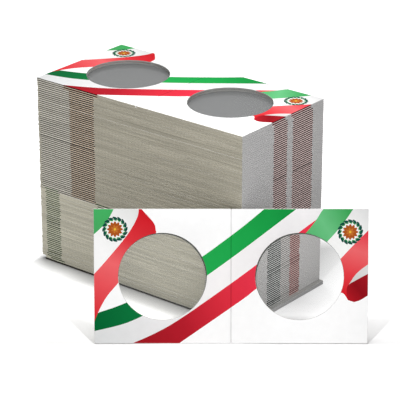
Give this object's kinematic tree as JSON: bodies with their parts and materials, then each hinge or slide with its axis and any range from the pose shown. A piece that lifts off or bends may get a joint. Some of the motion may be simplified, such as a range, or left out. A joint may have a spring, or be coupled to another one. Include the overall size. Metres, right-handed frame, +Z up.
{
  "type": "paper coin holder",
  "caption": "Pile of flat scored cardboard coin holders with round film-covered windows, and a further holder leaning open against the pile's front corner.",
  "frame": {"origin": "middle of the pile's underside, on the surface that the pile and the leaning holder stand on", "axes": "+Z up through the pile, +X along the pile's long side towards its right end, +Y along its short side towards its back"},
  "size_m": [0.1467, 0.0957, 0.0776],
  "materials": {
    "printed_board": "satin",
    "board_edges": "matte",
    "clear_film": "gloss"
  },
  "bodies": {
    "lower_pile": {"lower_holders_01": "board_edges", "lower_holders_02": "board_edges", "lower_holders_03": "board_edges", "lower_holders_04": "board_edges", "lower_holders_05": "board_edges", "lower_holders_06": "board_edges", "lower_holders_07": "board_edges", "lower_holders_08": "board_edges", "lower_holders_09": "board_edges", "lower_holders_10": "board_edges", "lower_holders_11": "board_edges", "lower_holders_12": "board_edges", "lower_holders_13": "board_edges", "lower_holders_14": "board_edges", "lower_holders_15": "board_edges", "lower_holders_16": "board_edges", "lower_holders_17": "board_edges", "lower_holders_18": "board_edges", "lower_holders_19": "board_edges"},
    "upper_pile": {"upper_holders_01": "board_edges", "upper_holders_02": "board_edges", "upper_holders_03": "board_edges", "upper_holders_04": "board_edges", "upper_holders_05": "board_edges", "upper_holders_06": "board_edges", "upper_holders_07": "board_edges", "upper_holders_08": "board_edges", "upper_holders_09": "board_edges", "upper_holders_10": "board_edges", "upper_holders_11": "board_edges", "upper_holders_12": "board_edges", "upper_holders_13": "board_edges", "upper_holders_14": "board_edges", "upper_holders_15": "board_edges", "upper_holders_16": "board_edges", "upper_holders_17": "board_edges", "upper_holders_18": "board_edges", "upper_holders_19": "board_edges", "upper_holders_20": "board_edges", "upper_holders_21": "board_edges", "upper_holders_22": "board_edges", "upper_holders_23": "board_edges", "upper_holders_24": "board_edges", "upper_holders_25": "board_edges", "upper_holders_26": "board_edges", "upper_holders_27": "board_edges"},
    "top_holder_left": {"top_holder_left_board": "printed_board", "top_holder_left_film": "clear_film"},
    "top_holder_right": {"top_holder_right_board": "printed_board", "top_holder_right_film": "clear_film"},
    "front_holder_left": {"front_holder_left_board": "printed_board", "front_holder_left_film": "clear_film"},
    "front_holder_right": {"front_holder_right_board": "printed_board", "front_holder_right_film": "clear_film"}
  },
  "joints": [
    {"name": "upper_pile_lift", "type": "slide", "parent": "lower_pile", "child": "upper_pile", "axis": [0, 0, 1], "range_m": [0, 0.1]},
    {"name": "top_holder_lift", "type": "slide", "parent": "upper_pile", "child": "top_holder_left", "axis": [0, 0, 1], "range_m": [0, 0.18]},
    {"name": "top_holder_fold", "type": "hinge", "parent": "top_holder_left", "child": "top_holder_right", "pos_m": [0, 0, 0.07667], "axis": [0, 1, 0], "range_deg": [0, 180]},
    {"name": "front_holder_draw", "type": "slide", "parent": "lower_pile", "child": "front_holder_left", "axis": [0.6053, -0.7556, 0.2504], "range_m": [0, 0.18]},
    {"name": "front_holder_fold", "type": "hinge", "parent": "front_holder_left", "child": "front_holder_right", "pos_m": [0.05572, -0.03777, -0.00005], "axis": [-0.1565, 0.1954, 0.9681], "range_deg": [0, 180]}
  ],
  "couplings": [
    {"joint": "top_holder_fold", "follows": "top_holder_lift", "rad_per_m": 17.22},
    {"joint": "front_holder_fold", "follows": "front_holder_draw", "rad_per_m": 17.22}
  ]
}
